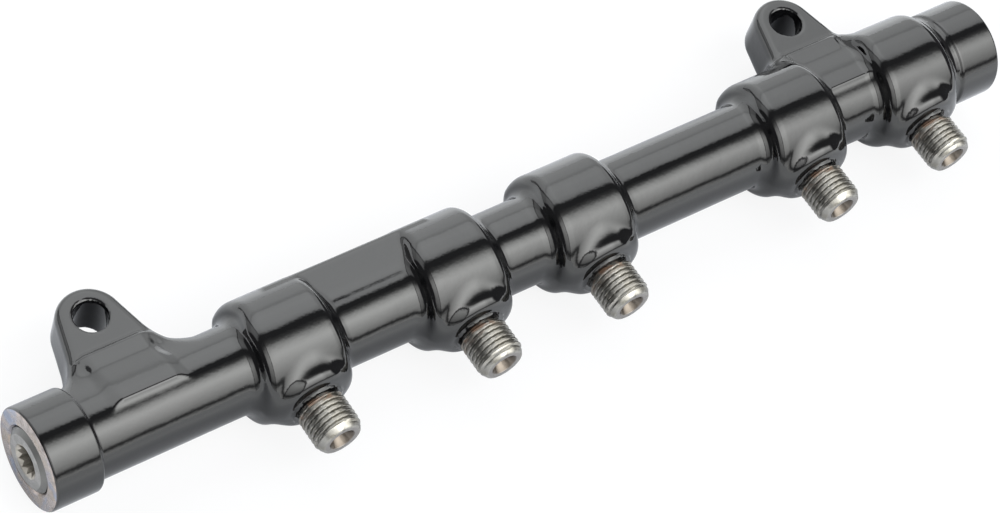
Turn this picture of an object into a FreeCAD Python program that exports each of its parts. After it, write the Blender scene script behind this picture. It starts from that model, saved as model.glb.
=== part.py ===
import FreeCAD, Part
import math
import os

from FreeCAD import Vector

# A forged fuel rail for a diesel engine: one steel forging with five threaded outlets on its front,
# two bolted lugs on its back, and a screwed plug that closes one end of the drilled gallery.
# Axes: X runs along the rail from the plug to the sensor port, Y points from the rail to the bolts,
# and Z is the direction of the bolts, upwards.
# The origin lies on the lugs' machined underside, midway between the two bolt holes.

# Rail bar, collars and bosses
rail_length = 278.6
bar_radius = 10.65
boss_radius = 14.75
boss_flat_to_plug = 8.6
boss_flat_to_port = 7.5
boss_blend = 5.0
plug_collar_radius = 12.55
plug_collar_length = 11.6
plug_collar_edge = 0.85
plug_collar_blend = 1.8
port_collar_radius = 12.7
port_collar_length = 11.8
port_collar_edge = 0.9
port_neck_radius = 12.2
port_neck_blend = 1.3
port_shoulder_blend = 5.4

# Outlets, measured from the plug end of the rail
outlet_stations = (66.2, 111.7, 149.3, 215.5, 252.3)
neck_radius = 9.0
neck_reach = 16.4
neck_edge = 1.9
neck_flare = 5.0
thread_radius = 6.0
outlet_reach = 26.9
tip_chamfer = 1.1
undercut_radius = 5.0
undercut_width = 0.9
seat_mouth_radius = 3.3
seat_half_angle = 30.0
outlet_bore_radius = 1.25

# Thickened length between the first two bosses: round in front, square behind
pad_reach = 11.7
pad_corner = 1.6

# Lugs and their bolt holes
hole_spacing = 204.5
first_hole_from_end = 29.1
bolt_line_offset = 23.8
bolt_hole_radius = 4.35
bolt_hole_chamfer = 0.4
lug_thickness = 11.8
lug_head_radius = 8.1
lug_machining = 1.0
lug_edge = 3.2
lug_web_half = 8.3
lug_web_slope = 13.0
lug_web_edge = 1.6
lug_flank_angle = 15.0
lug_flare_radius = 16.0
lug_flare_angle = 45.0
lug_flare_start = 18.0
spot_face_clearance = 9.1

# Gallery and the two end ports
gallery_radius = 4.5
port_radius = 8.0
port_mouth_radius = 8.33
port_depth = 14.5
port_seat_half_angle = 60.0

# End plug
plug_thread_clearance = 0.05
plug_seat_clearance = 0.05
plug_proud = 0.6
plug_face_radius = 6.6
plug_chamfer_depth = 0.9
plug_nose_radius = 7.2
plug_nose_length = 1.8
plug_nose_tip_radius = 4.7
socket_point_radius = 4.07
socket_squares = 3
socket_depth = 7.0
socket_mouth_radius = 4.35
socket_floor_half_angle = 60.0

# How far a cutting tool runs past the face that it enters
overcut = 1.0


class Outline:
    """A flat outline drawn edge by edge, from points (a, b) that a placing function puts in space."""

    def __init__(self, place, a, b):
        self.place = place
        self.start = (a, b)
        self.here = (a, b)
        self.edges = []

    def line_to(self, a, b):
        self.edges.append(Part.LineSegment(self.place(*self.here), self.place(a, b)).toShape())
        self.here = (a, b)

    def arc_to(self, middle, end):
        points = [self.place(*point) for point in (self.here, middle, end)]
        self.edges.append(Part.Arc(*points).toShape())
        self.here = end

    def blend_to(self, a, b):
        """Two equal tangent arcs, parallel to the first axis at both ends."""
        run = (a - self.here[0]) / 2
        rise = (b - self.here[1]) / 2
        radius = (run ** 2 + rise ** 2) / (2 * abs(rise))
        half_turn = math.atan2(abs(rise), abs(run))
        along = math.copysign(radius * math.sin(half_turn), run)
        across = math.copysign(radius * (1 - math.cos(half_turn)), rise)
        rising = (self.here[0] + along, self.here[1] + across)
        self.arc_to(rising, (self.here[0] + run, self.here[1] + rise))
        self.arc_to((a - along, b - across), (a, b))

    def round_corner(self, corner, end):
        """A quarter circle from here to end, round the corner of a right angle."""
        reach = 1 - math.sqrt(0.5)
        middle = tuple(
            corner[i] + reach * ((self.here[i] - corner[i]) + (end[i] - corner[i])) for i in (0, 1)
        )
        self.arc_to(middle, end)

    def face(self):
        self.line_to(*self.start)
        return Part.Face(Part.Wire(self.edges))


def along_rail(a, b):
    """Station a on the rail's axis, radius b above it."""
    return Vector(a, 0, b)


def turned_on_rail(outline):
    return outline.face().revolve(Vector(0, 0, 0), Vector(1, 0, 0), 360)


def rail_blank():
    """The bar with its bosses and collars, turned about the rail's axis."""
    outline = Outline(along_rail, 0, 0)
    outline.line_to(0, plug_collar_radius - plug_collar_edge)
    outline.round_corner((0, plug_collar_radius), (plug_collar_edge, plug_collar_radius))
    outline.line_to(plug_collar_length, plug_collar_radius)
    outline.blend_to(plug_collar_length + plug_collar_blend, bar_radius)
    for station in outlet_stations:
        outline.line_to(station - boss_flat_to_plug - boss_blend, bar_radius)
        outline.blend_to(station - boss_flat_to_plug, boss_radius)
        outline.line_to(station + boss_flat_to_port, boss_radius)
        if station != outlet_stations[-1]:
            outline.blend_to(station + boss_flat_to_port + boss_blend, bar_radius)
    neck_start = outlet_stations[-1] + boss_flat_to_port + port_shoulder_blend
    outline.blend_to(neck_start, port_neck_radius)
    collar_start = rail_length - port_collar_length
    outline.line_to(collar_start - port_neck_blend, port_neck_radius)
    outline.blend_to(collar_start, port_collar_radius)
    outline.line_to(rail_length - port_collar_edge, port_collar_radius)
    face_rim = (rail_length, port_collar_radius - port_collar_edge)
    outline.round_corner((rail_length, port_collar_radius), face_rim)
    outline.line_to(rail_length, 0)
    return turned_on_rail(outline)


def pad():
    """The thickened length behind the bar, from the middle of the first boss to the second."""
    def across(a, b):
        return Vector(outlet_stations[0], a, b)

    outline = Outline(across, 0, bar_radius)
    outline.arc_to((-bar_radius, 0), (0, -bar_radius))
    outline.line_to(pad_reach - pad_corner, -bar_radius)
    outline.round_corner((pad_reach, -bar_radius), (pad_reach, pad_corner - bar_radius))
    outline.line_to(pad_reach, bar_radius - pad_corner)
    outline.round_corner((pad_reach, bar_radius), (pad_reach - pad_corner, bar_radius))
    return outline.face().extrude(Vector(outlet_stations[1] - outlet_stations[0], 0, 0))


def outlet_placer(station):
    """Distance a from the rail's axis along an outlet, radius b about the outlet's own axis."""
    def place(a, b):
        return Vector(station + b, -a, 0)
    return place


def turned_on_outlet(outline, station):
    return outline.face().revolve(Vector(station, 0, 0), Vector(0, 1, 0), 360)


def outlet_neck(station):
    """The root of an outlet, which flares tangentially into the boss above and below the outlet."""
    foot_radius = boss_radius * (neck_radius + neck_flare) / (boss_radius + neck_flare)
    foot_reach = math.sqrt(boss_radius ** 2 - foot_radius ** 2)
    turn = math.acos(foot_radius / boss_radius)
    centre = (foot_reach + neck_flare * math.sin(turn), neck_radius + neck_flare)

    def on_flare(angle):
        return (centre[0] - neck_flare * math.sin(angle), centre[1] - neck_flare * math.cos(angle))

    outline = Outline(outlet_placer(station), 0, 0)
    outline.line_to(0, foot_radius)
    outline.line_to(*on_flare(turn))
    outline.arc_to(on_flare(turn / 2), on_flare(0))
    outline.line_to(neck_reach - neck_edge, neck_radius)
    outline.round_corner((neck_reach, neck_radius), (neck_reach, neck_radius - neck_edge))
    outline.line_to(neck_reach, 0)
    return turned_on_outlet(outline, station)


def outlet_spigot(station):
    """The threaded end of an outlet at its thread's outside diameter, with undercut and chamfers."""
    lead = thread_radius - undercut_radius
    outline = Outline(outlet_placer(station), neck_reach - overcut, 0)
    outline.line_to(neck_reach - overcut, undercut_radius)
    outline.line_to(neck_reach + undercut_width, undercut_radius)
    outline.line_to(neck_reach + undercut_width + lead / 2, thread_radius)
    outline.line_to(outlet_reach - tip_chamfer, thread_radius)
    outline.line_to(outlet_reach, thread_radius - tip_chamfer)
    outline.line_to(outlet_reach, 0)
    return turned_on_outlet(outline, station)


def outlet_bore(station):
    """The cone that the pipe's end seals in, and the drilling down to the gallery."""
    slope = math.tan(math.radians(seat_half_angle))
    cone_depth = (seat_mouth_radius - outlet_bore_radius) / slope
    outline = Outline(outlet_placer(station), 0, 0)
    outline.line_to(0, outlet_bore_radius)
    outline.line_to(outlet_reach - cone_depth, outlet_bore_radius)
    outline.line_to(outlet_reach + overcut, seat_mouth_radius + overcut * slope)
    outline.line_to(outlet_reach + overcut, 0)
    return turned_on_outlet(outline, station)


def lug_outline(hole_station, lug_half):
    """A round head on two flanks that flare out into the bar, symmetrical about the bolt hole."""
    lean = math.radians(lug_flank_angle)
    flare = math.radians(lug_flare_angle)
    middle = (lean + flare) / 2
    tangent = (lug_head_radius * math.cos(lean), bolt_line_offset + lug_head_radius * math.sin(lean))
    flank = (tangent[1] - lug_flare_start) / math.cos(lean)
    flare_top = (tangent[0] + flank * math.sin(lean), lug_flare_start)
    centre = (
        flare_top[0] + lug_flare_radius * math.cos(lean),
        flare_top[1] + lug_flare_radius * math.sin(lean),
    )

    def on_flare(angle):
        return (
            centre[0] - lug_flare_radius * math.cos(angle),
            centre[1] - lug_flare_radius * math.sin(angle),
        )

    foot = on_flare(flare)
    foot_half = foot[0] + foot[1] * math.tan(flare)

    def mirrored(point):
        return (-point[0], point[1])

    def place(a, b):
        return Vector(hole_station + a, b, -lug_half)

    outline = Outline(place, -foot_half, 0)
    outline.line_to(*mirrored(foot))
    outline.arc_to(mirrored(on_flare(middle)), mirrored(flare_top))
    outline.line_to(*mirrored(tangent))
    outline.arc_to((0, bolt_line_offset + lug_head_radius), tangent)
    outline.line_to(*flare_top)
    outline.arc_to(on_flare(middle), foot)
    outline.line_to(foot_half, 0)
    return outline


def lug(hole_station):
    """A forged lug with rounded rims, machined flat on both sides round its bolt hole."""
    lug_half = lug_thickness / 2 + lug_machining
    slab = lug_outline(hole_station, lug_half).face().extrude(Vector(0, 0, 2 * lug_half))
    rims = [
        edge for edge in slab.Edges
        if abs(abs(edge.CenterOfMass.z) - lug_half) < lug_half / 10 and edge.BoundBox.YMax > lug_half / 10
    ]
    slab = slab.makeFillet(lug_edge, rims)
    face_start = bolt_line_offset - spot_face_clearance
    face_size = bolt_line_offset + lug_head_radius + overcut - face_start
    width = 2 * (bolt_line_offset + lug_head_radius)
    for low in (lug_thickness / 2, -lug_half - overcut):
        corner = Vector(hole_station - width / 2, face_start, low)
        slab = slab.cut(Part.makeBox(width, face_size, lug_machining + overcut, corner))
    return slab


def lug_web(hole_station):
    """The wedge that thickens a lug towards the bar, rounded along its four sloping edges."""
    lug_half = lug_thickness / 2 + lug_machining
    face_start = bolt_line_offset - spot_face_clearance
    rise = face_start * math.tan(math.radians(lug_web_slope))

    def place(a, b):
        return Vector(hole_station - lug_web_half, a, b)

    outline = Outline(place, 0, lug_half + rise)
    outline.line_to(face_start, lug_half)
    outline.line_to(face_start, -lug_half)
    outline.line_to(0, -lug_half - rise)
    wedge = outline.face().extrude(Vector(2 * lug_web_half, 0, 0))
    sloping = [
        edge for edge in wedge.Edges
        if edge.BoundBox.YLength > overcut and edge.BoundBox.ZLength > overcut
    ]
    return wedge.makeFillet(lug_web_edge, sloping)


def bolt_hole(hole_station):
    """The bolt's clearance hole, chamfered where the bolt enters and plain at the mounting face."""
    half = lug_thickness / 2

    def place(a, b):
        return Vector(hole_station + b, bolt_line_offset, a)

    outline = Outline(place, -half - overcut, 0)
    outline.line_to(-half - overcut, bolt_hole_radius)
    outline.line_to(half - bolt_hole_chamfer, bolt_hole_radius)
    outline.line_to(half + overcut, bolt_hole_radius + bolt_hole_chamfer + overcut)
    outline.line_to(half + overcut, 0)
    return outline.face().revolve(Vector(hole_station, bolt_line_offset, 0), Vector(0, 0, 1), 360)


def port_cutter():
    """A threaded end port and its sealing cone, entered from the rail's end at station zero."""
    slope = math.tan(math.radians(port_seat_half_angle))
    mouth_depth = port_mouth_radius - port_radius
    outline = Outline(along_rail, -overcut, 0)
    outline.line_to(-overcut, port_mouth_radius + overcut)
    outline.line_to(mouth_depth, port_radius)
    outline.line_to(port_depth, port_radius)
    outline.line_to(port_depth + port_radius / slope, 0)
    return turned_on_rail(outline)


def end_plug():
    """The closing screw: a shank at its thread's diameter, a sealing nose and a twelve-point socket."""
    shank_radius = port_radius - plug_thread_clearance
    slope = math.tan(math.radians(port_seat_half_angle))

    def nose_station(radius):
        return port_depth + (port_radius - radius) / slope - plug_seat_clearance

    outline = Outline(along_rail, -plug_proud, 0)
    outline.line_to(-plug_proud, plug_face_radius)
    outline.line_to(plug_chamfer_depth - plug_proud, shank_radius)
    outline.line_to(nose_station(plug_nose_radius) - plug_nose_length, shank_radius)
    outline.line_to(nose_station(plug_nose_radius) - plug_nose_length, plug_nose_radius)
    outline.line_to(nose_station(plug_nose_radius), plug_nose_radius)
    outline.line_to(nose_station(plug_nose_tip_radius), plug_nose_tip_radius)
    outline.line_to(nose_station(plug_nose_tip_radius), 0)
    plug = turned_on_rail(outline)
    return plug.cut(socket_cutter())


def socket_cutter():
    """Squares turned evenly about the axis give the socket's points; its mouth and floor are cones."""
    turn = 90 / socket_squares
    corners = 4 * socket_squares
    flat_distance = socket_point_radius * math.cos(math.radians(45))
    valley_radius = flat_distance / math.cos(math.radians(45 - turn / 2))
    points = []
    for index in range(2 * corners):
        radius = valley_radius if index % 2 else socket_point_radius
        angle = math.radians((index + 1) * turn / 2)
        points.append(Vector(-plug_proud - overcut, radius * math.cos(angle), radius * math.sin(angle)))
    section = Part.Face(Part.makePolygon(points + points[:1]))
    points_tool = section.extrude(Vector(socket_depth + overcut, 0, 0))

    outline = Outline(along_rail, -plug_proud - overcut, 0)
    outline.line_to(-plug_proud - overcut, socket_mouth_radius + overcut)
    outline.line_to(-plug_proud + socket_mouth_radius - valley_radius, valley_radius)
    outline.line_to(socket_depth - plug_proud, valley_radius)
    floor = valley_radius / math.tan(math.radians(socket_floor_half_angle))
    outline.line_to(socket_depth - plug_proud + floor, 0)
    return points_tool.fuse(turned_on_rail(outline))


def rail_body():
    holes = (first_hole_from_end, first_hole_from_end + hole_spacing)
    forging = [outlet_neck(station) for station in outlet_stations]
    forging += [outlet_spigot(station) for station in outlet_stations]
    forging += [make(hole) for hole in holes for make in (lug, lug_web)]
    body = rail_blank().fuse(forging + [pad()]).removeSplitter()
    far_port = port_cutter().mirror(Vector(rail_length / 2, 0, 0), Vector(1, 0, 0))
    gallery = Part.makeCylinder(gallery_radius, rail_length, Vector(0, 0, 0), Vector(1, 0, 0))
    cutters = [port_cutter(), far_port, gallery]
    cutters += [outlet_bore(station) for station in outlet_stations]
    cutters += [bolt_hole(hole) for hole in holes]
    return body.cut(cutters).removeSplitter()


def main():
    to_origin = Vector(-first_hole_from_end - hole_spacing / 2, -bolt_line_offset, lug_thickness / 2)
    os.makedirs("parts", exist_ok=True)
    for name, shape in (("rail_body", rail_body()), ("end_plug", end_plug())):
        shape.translate(to_origin)
        shape.exportStep("parts/" + name + ".step")
        print(name, "valid", shape.isValid(), "solids", len(shape.Solids), "volume", round(shape.Volume))


main()
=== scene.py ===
import logging
import math
from dataclasses import dataclass, field
from enum import Enum
from typing import Any, Callable, Optional, Sequence

import bpy
import numpy as np
from mathutils import Matrix, Vector


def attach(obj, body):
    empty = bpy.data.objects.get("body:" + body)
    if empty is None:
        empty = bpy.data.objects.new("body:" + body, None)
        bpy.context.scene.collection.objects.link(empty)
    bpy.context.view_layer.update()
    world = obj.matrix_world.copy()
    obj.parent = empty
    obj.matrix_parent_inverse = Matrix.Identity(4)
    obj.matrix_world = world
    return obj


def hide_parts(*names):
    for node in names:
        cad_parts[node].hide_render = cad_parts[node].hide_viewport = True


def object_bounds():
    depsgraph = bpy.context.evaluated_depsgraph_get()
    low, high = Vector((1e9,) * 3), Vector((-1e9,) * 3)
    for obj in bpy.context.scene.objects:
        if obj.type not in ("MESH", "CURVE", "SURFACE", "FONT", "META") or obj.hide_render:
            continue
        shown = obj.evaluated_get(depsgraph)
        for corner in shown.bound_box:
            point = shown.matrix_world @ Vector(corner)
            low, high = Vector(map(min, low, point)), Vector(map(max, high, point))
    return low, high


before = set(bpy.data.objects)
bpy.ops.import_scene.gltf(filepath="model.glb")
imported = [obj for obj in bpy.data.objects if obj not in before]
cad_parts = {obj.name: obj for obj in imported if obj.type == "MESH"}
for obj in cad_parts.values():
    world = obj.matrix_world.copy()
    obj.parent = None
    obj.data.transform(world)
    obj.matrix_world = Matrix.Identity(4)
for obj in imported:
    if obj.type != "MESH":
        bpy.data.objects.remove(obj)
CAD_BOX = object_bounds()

# The looks of a forged fuel rail: black painted forging, bare threaded outlets, machined ends and a
# steel closing plug. Sizes are in millimetres in the rail's own axes: X along the rail from its plug
# end, Y towards the bolts, Z along the bolts. RAIL_ORIGIN is where those axes start in the frame.

Pair = tuple[float, float]
Triple = tuple[float, float, float]
Colour = tuple[float, float, float, float]
Socket = bpy.types.NodeSocket
Sockets = dict[str, Socket]

LOG = logging.getLogger("fuel_rail")
MM = 0.001
RAIL_ORIGIN = Vector((-131.35, -23.8, 5.9))
FINER_GRAIN = 5.0
OUTLET_STATIONS = (66.2, 111.7, 149.3, 215.5, 252.3)
LUG_STATIONS = (29.1, 233.6)
ROOT_BODY = "root"


class Finish(Enum):
    """The finishes that the rail's surfaces have."""

    PAINT = "black_paint"
    MACHINED = "machined_steel"
    THREAD = "thread_steel"
    PLUG = "plug_steel"


class Slot(Enum):
    """The record's material slots."""

    PAINT = "black_paint"
    STEEL = "bare_steel"


class Union(Enum):
    """How two forms meet."""

    JOIN = 1.0
    TRIM = -1.0


# Node trees


class Graph:
    """Adds nodes to one node tree and joins them."""

    def __init__(self, tree: bpy.types.NodeTree) -> None:
        """Start on the given tree, emptied."""
        self.tree = tree
        tree.nodes.clear()

    def add(self, kind: str, inputs: Optional[dict[Any, Any]] = None, **settings: Any) -> bpy.types.Node:
        """Add a node.

        Args:
            kind: Blender's name of the node's type.
            inputs: for each input, by name or number, a value or the output that feeds it.
            settings: the node's own settings.

        Returns:
            The new node.
        """
        node = self.tree.nodes.new(kind)
        for name, value in settings.items():
            setattr(node, name, value)
        for name, value in (inputs or {}).items():
            self.feed(node.inputs[name], value)
        return node

    def feed(self, socket: Socket, value: Any) -> None:
        """Give an input its value, or join it to an output.

        Args:
            socket: the input.
            value: a plain value, or the output that feeds the input.
        """
        if isinstance(value, Socket):
            self.tree.links.new(value, socket)
        else:
            socket.default_value = value

    def math(self, operation: str, *values: Any) -> Socket:
        """Add a Math node with its inputs in order, and give its output."""
        return self.add("ShaderNodeMath", dict(enumerate(values)), operation=operation).outputs[0]

    def ramp(
        self, value: Any, low: float, high: float, start: float = 0.0, end: float = 1.0
    ) -> Socket:
        """Turn the range from low to high smoothly into the range from start to end."""
        given = {0: value, 1: low, 2: high, 3: start, 4: end}
        return self.add("ShaderNodeMapRange", given, interpolation_type="SMOOTHSTEP").outputs[0]

    def mix(self, mask: Any, first: Any, second: Any) -> Socket:
        """Mix two colours: a mask of 0 gives the first and 1 the second."""
        return self.add("ShaderNodeMix", {0: mask, 6: first, 7: second}, data_type="RGBA").outputs[2]


def shared_effect(
    name: str,
    inputs: dict[str, float],
    outputs: Sequence[str],
    build: Callable[[Graph, Sockets], Sockets],
) -> bpy.types.NodeTree:
    """Make a shader node group that several finishes place with their own values.

    Args:
        name: the group's name.
        inputs: its inputs with their usual values.
        outputs: its outputs.
        build: fills the group, given its graph and its inputs, and gives the socket for each output.

    Returns:
        The group's node tree.
    """
    tree = bpy.data.node_groups.new(name, "ShaderNodeTree")
    graph = Graph(tree)
    tree.interface.new_socket(name="Vector", in_out="INPUT", socket_type="NodeSocketVector")
    for label, value in inputs.items():
        socket = tree.interface.new_socket(name=label, in_out="INPUT", socket_type="NodeSocketFloat")
        socket.default_value = value
    for label in outputs:
        tree.interface.new_socket(name=label, in_out="OUTPUT", socket_type="NodeSocketFloat")
    entry = graph.add("NodeGroupInput")
    results = build(graph, {socket.name: socket for socket in entry.outputs if socket.name})
    graph.add("NodeGroupOutput", results)
    return tree


def build_grain(graph: Graph, given: Sockets) -> Sockets:
    """Fill the grain effect: a soft swell with a finer grain on it.

    Args:
        graph: the group's graph.
        given: the group's inputs.

    Returns:
        The height over the surface.
    """
    swell = graph.add(
        "ShaderNodeTexNoise",
        {"Vector": given["Vector"], "Scale": given["Scale"], "Detail": 1.0, "Roughness": 0.4},
    )
    finer = graph.math("MULTIPLY", given["Scale"], FINER_GRAIN)
    fine = graph.add("ShaderNodeTexNoise", {"Vector": given["Vector"], "Scale": finer, "Detail": 2.0})
    share = graph.math("MULTIPLY", fine.outputs["Fac"], given["Fine"])
    return {"Height": graph.math("ADD", swell.outputs["Fac"], share)}


def build_stain(graph: Graph, given: Sockets) -> Sockets:
    """Fill the stain effect: uneven patches with soft edges.

    Args:
        graph: the group's graph.
        given: the group's inputs.

    Returns:
        The mask over the surface.
    """
    shape = {"Detail": 5.0, "Roughness": 0.6, "Distortion": 0.6}
    noise = graph.add("ShaderNodeTexNoise", {"Vector": given["Vector"], "Scale": given["Scale"], **shape})
    low = graph.math("SUBTRACT", given["Level"], given["Softness"])
    high = graph.math("ADD", given["Level"], given["Softness"])
    return {"Mask": graph.ramp(noise.outputs["Fac"], low, high)}


def build_specks(graph: Graph, given: Sockets) -> Sockets:
    """Fill the speck effect: small round nibs, left out of most cells.

    Args:
        graph: the group's graph.
        given: the group's inputs.

    Returns:
        The height over the surface.
    """
    cells = graph.add(
        "ShaderNodeTexVoronoi", {"Vector": given["Vector"], "Scale": given["Scale"], "Randomness": 1.0}
    )
    dot = graph.ramp(cells.outputs["Distance"], given["Size"], 0.0)
    shade = graph.add("ShaderNodeSeparateColor", {"Color": cells.outputs["Color"]}).outputs[0]
    chosen = graph.math("GREATER_THAN", shade, given["Spared"])
    return {"Height": graph.math("MULTIPLY", dot, chosen)}


@dataclass
class Effects:
    """The effects that more than one finish uses."""

    grain: bpy.types.NodeTree
    stain: bpy.types.NodeTree
    specks: bpy.types.NodeTree

    @classmethod
    def build(cls) -> "Effects":
        """Make each effect once.

        Returns:
            The effects.
        """
        grain = {"Scale": 900.0, "Fine": 0.2}
        stain = {"Scale": 200.0, "Level": 0.5, "Softness": 0.1}
        specks = {"Scale": 300.0, "Size": 0.05, "Spared": 0.8}
        return cls(
            grain=shared_effect("grain", grain, ("Height",), build_grain),
            stain=shared_effect("stain", stain, ("Mask",), build_stain),
            specks=shared_effect("specks", specks, ("Height",), build_specks),
        )


class Surface:
    """One material under construction: its graph, its shader and the object's own coordinates."""

    def __init__(self, name: str, effects: Effects) -> None:
        """Start a material.

        Args:
            name: the material's name.
            effects: the effects that it may place.
        """
        self.material = bpy.data.materials.new(name)
        self.material.use_nodes = True
        self.effects = effects
        self.graph = Graph(self.material.node_tree)
        self.shader = self.graph.add("ShaderNodeBsdfPrincipled")
        self.graph.add("ShaderNodeOutputMaterial", {"Surface": self.shader.outputs[0]})
        self.place = self.graph.add("ShaderNodeTexCoord").outputs["Object"]

    def effect(self, tree: bpy.types.NodeTree, result: str, **values: float) -> Socket:
        """Place an effect.

        Args:
            tree: the effect's group.
            result: the output that is wanted.
            values: the effect's inputs.

        Returns:
            The output.
        """
        node = self.graph.add("ShaderNodeGroup", node_tree=tree)
        for label, value in {"Vector": self.place, **values}.items():
            self.graph.feed(node.inputs[label], value)
        return node.outputs[result]

    def grain(self, scale: float, fine: float) -> Socket:
        """Place the grain effect and give its height."""
        return self.effect(self.effects.grain, "Height", Scale=scale, Fine=fine)

    def stain(self, scale: float, level: float, softness: float) -> Socket:
        """Place the stain effect and give its mask."""
        return self.effect(self.effects.stain, "Mask", Scale=scale, Level=level, Softness=softness)

    def bump(self, height: Any, depth: float, under: Any = None) -> Socket:
        """Add relief.

        Args:
            height: the relief, 1 at its top.
            depth: how deep it is, in metres.
            under: the relief below it, if any.

        Returns:
            The normal.
        """
        node = self.graph.add("ShaderNodeBump", {"Strength": 1.0, "Distance": depth, "Height": height})
        if under is not None:
            self.graph.feed(node.inputs["Normal"], under)
        return node.outputs["Normal"]

    def dress(self, **inputs: Any) -> bpy.types.Material:
        """Set the shader's inputs.

        Args:
            inputs: the inputs, with spaces in their names written as underscores.

        Returns:
            The finished material.
        """
        for label, value in inputs.items():
            self.graph.feed(self.shader.inputs[label.replace("_", " ")], value)
        return self.material


# Finishes
#
# A grain is given as (scale, share of finer grain), and a stain as (scale, level, softness). A pair of
# radii or reaches, in metres, gives where a mask starts and where it is full.


@dataclass(frozen=True)
class BlackPaint:
    """Thick glossy black paint with a slight orange peel and a few dust nibs under it."""

    colour: Colour = (0.002, 0.002, 0.0023, 1.0)
    roughness: Pair = (0.02, 0.07)
    swell: Pair = (110.0, 0.0)
    swell_depth: float = 0.00003
    peel: Pair = (520.0, 0.12)
    peel_depth: float = 0.00002
    fine: Pair = (1500.0, 0.1)
    fine_depth: float = 0.000009
    nib_scale: float = 160.0
    nib_size: float = 0.028
    nibs_spared: float = 0.86
    nib_depth: float = 0.00006
    haze: Triple = (60.0, 0.5, 0.25)

    def make(self, effects: Effects) -> bpy.types.Material:
        """Build the material.

        Args:
            effects: the shared effects.

        Returns:
            The material.
        """
        surface = Surface(Finish.PAINT.value, effects)
        nib = {"Scale": self.nib_scale, "Size": self.nib_size, "Spared": self.nibs_spared}
        reliefs = (
            (surface.grain(*self.swell), self.swell_depth),
            (surface.grain(*self.peel), self.peel_depth),
            (surface.grain(*self.fine), self.fine_depth),
            (surface.effect(effects.specks, "Height", **nib), self.nib_depth),
        )
        relief = None
        for height, depth in reliefs:
            relief = surface.bump(height, depth, relief)
        roughness = surface.graph.ramp(surface.stain(*self.haze), 0.0, 1.0, *self.roughness)
        return surface.dress(Base_Color=self.colour, Roughness=roughness, Normal=relief)


@dataclass(frozen=True)
class MachinedSteel:
    """Turned bare steel with fine tool rings and the straw and blue tints of heat."""

    clean: Colour = (0.27, 0.235, 0.222, 1.0)
    dull: Colour = (0.16, 0.14, 0.135, 1.0)
    straw: Colour = (0.27, 0.225, 0.19, 1.0)
    blue: Colour = (0.17, 0.19, 0.25, 1.0)
    dull_patches: Triple = (330.0, 0.55, 0.12)
    straw_patches: Triple = (220.0, 0.54, 0.12)
    blue_patches: Triple = (150.0, 0.57, 0.1)
    roughness: Pair = (0.26, 0.42)
    grain: Pair = (1500.0, 0.5)
    grain_depth: float = 0.00001
    ring_pitch: float = 0.00022
    ring_depth: float = 0.000004

    def make(self, effects: Effects) -> bpy.types.Material:
        """Build the material.

        Args:
            effects: the shared effects.

        Returns:
            The material.
        """
        surface = Surface(Finish.MACHINED.value, effects)
        graph = surface.graph
        radius = radius_from_axis(graph, surface.place, ("Y", "Z"))
        rings = graph.math("SINE", graph.math("MULTIPLY", radius, 2 * math.pi / self.ring_pitch))
        grain = surface.grain(*self.grain)
        dull = surface.stain(*self.dull_patches)
        colour = graph.mix(dull, self.clean, self.dull)
        colour = graph.mix(surface.stain(*self.straw_patches), colour, self.straw)
        colour = graph.mix(surface.stain(*self.blue_patches), colour, self.blue)
        roughness = graph.ramp(dull, 0.0, 1.0, *self.roughness)
        relief = surface.bump(grain, self.grain_depth, surface.bump(rings, self.ring_depth))
        return surface.dress(Base_Color=colour, Metallic=1.0, Roughness=roughness, Normal=relief)


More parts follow.
